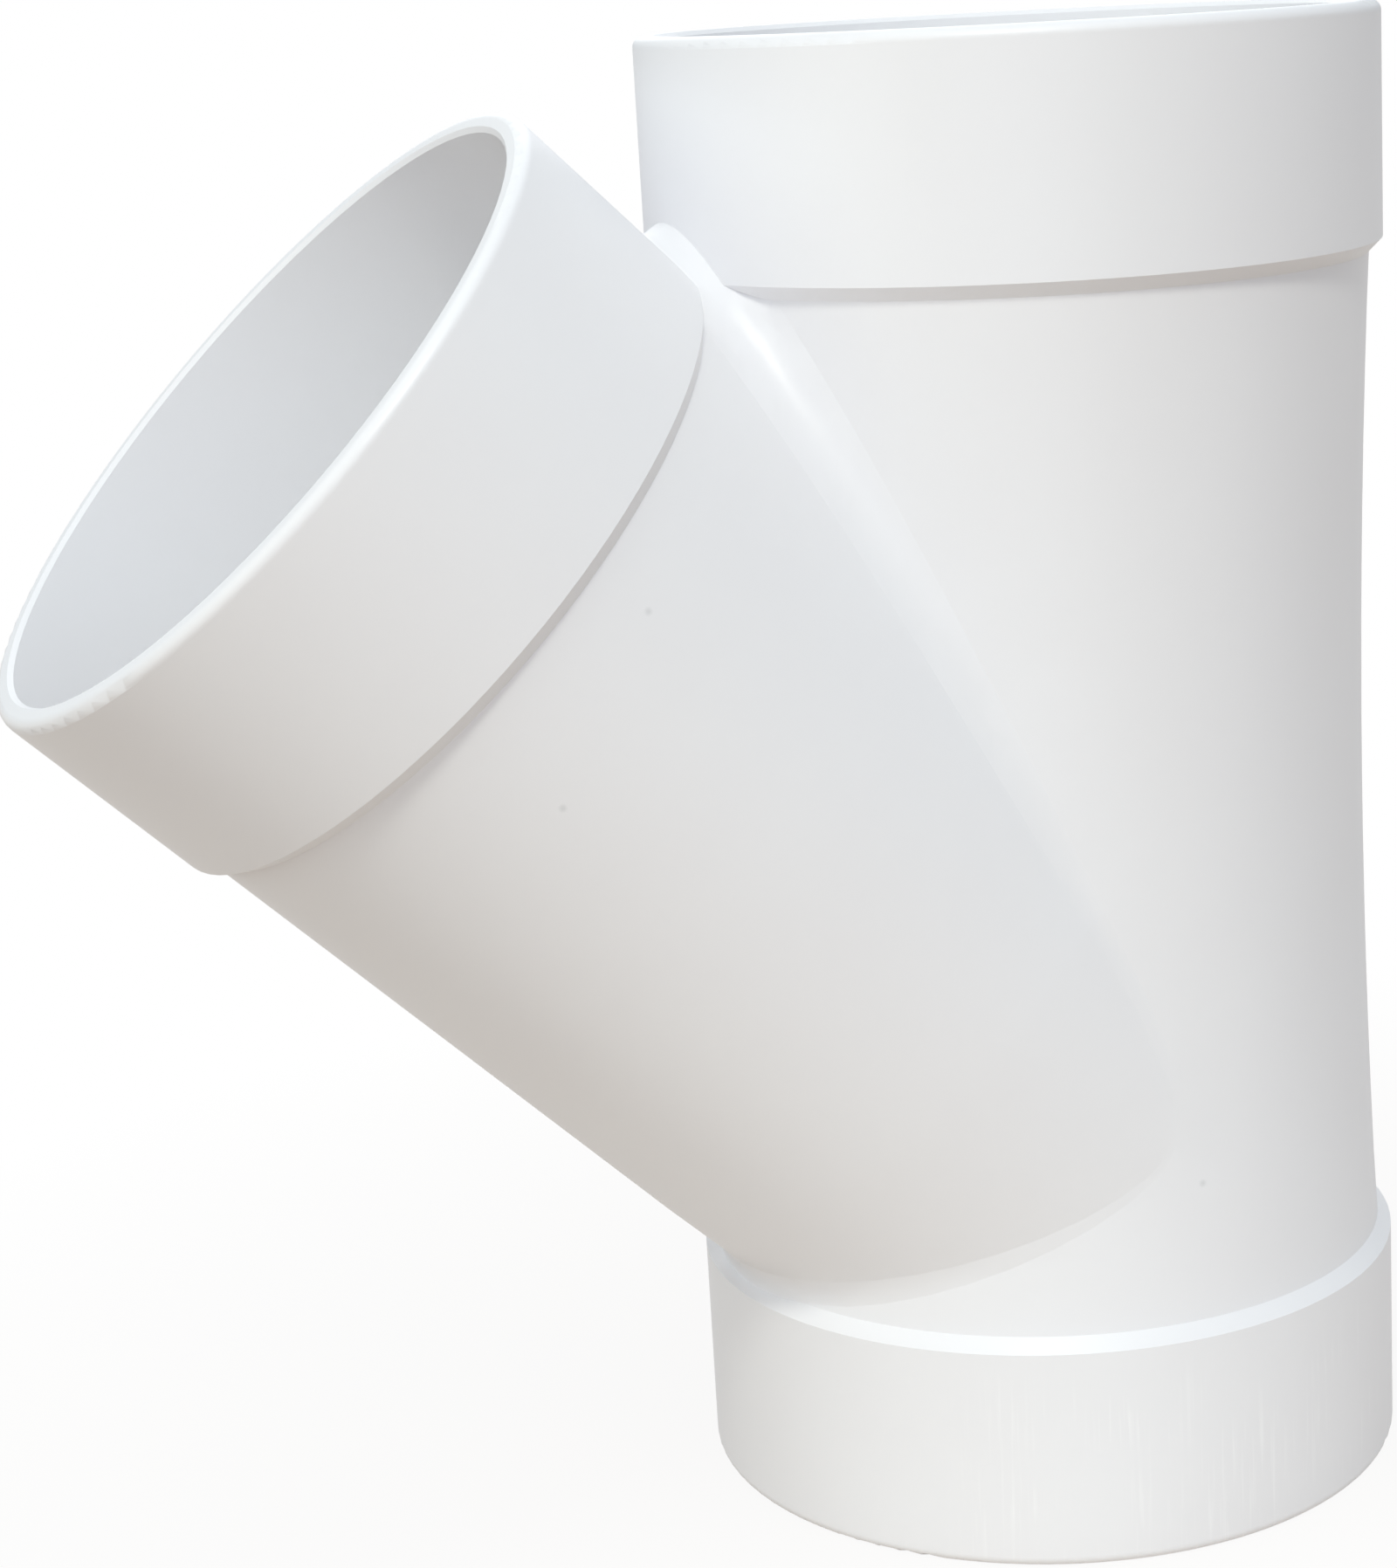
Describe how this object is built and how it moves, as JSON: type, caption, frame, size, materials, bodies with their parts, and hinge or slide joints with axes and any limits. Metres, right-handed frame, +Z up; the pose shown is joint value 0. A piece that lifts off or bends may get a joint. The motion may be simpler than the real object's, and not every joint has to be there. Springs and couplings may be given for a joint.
{
  "type": "lateral wye pipe fitting",
  "caption": "Moulded plastic lateral wye for drain pipe: a straight run with a socket at each end and an equal branch that joins it at 45 degrees, also ending in a socket.",
  "frame": {"origin": "centre of the lower mouth of the run", "axes": "+Z up along the run, towards the end beside the branch; the branch leaves towards -X and +Z at 45 degrees; Y = 0 is the plane of symmetry"},
  "size_m": [0.3298, 0.1724, 0.3498],
  "materials": {
    "moulded_plastic": "white rigid moulded plastic with a soft gloss"
  },
  "bodies": {
    "root": {"wye_fitting": "moulded_plastic"}
  },
  "joints": []
}
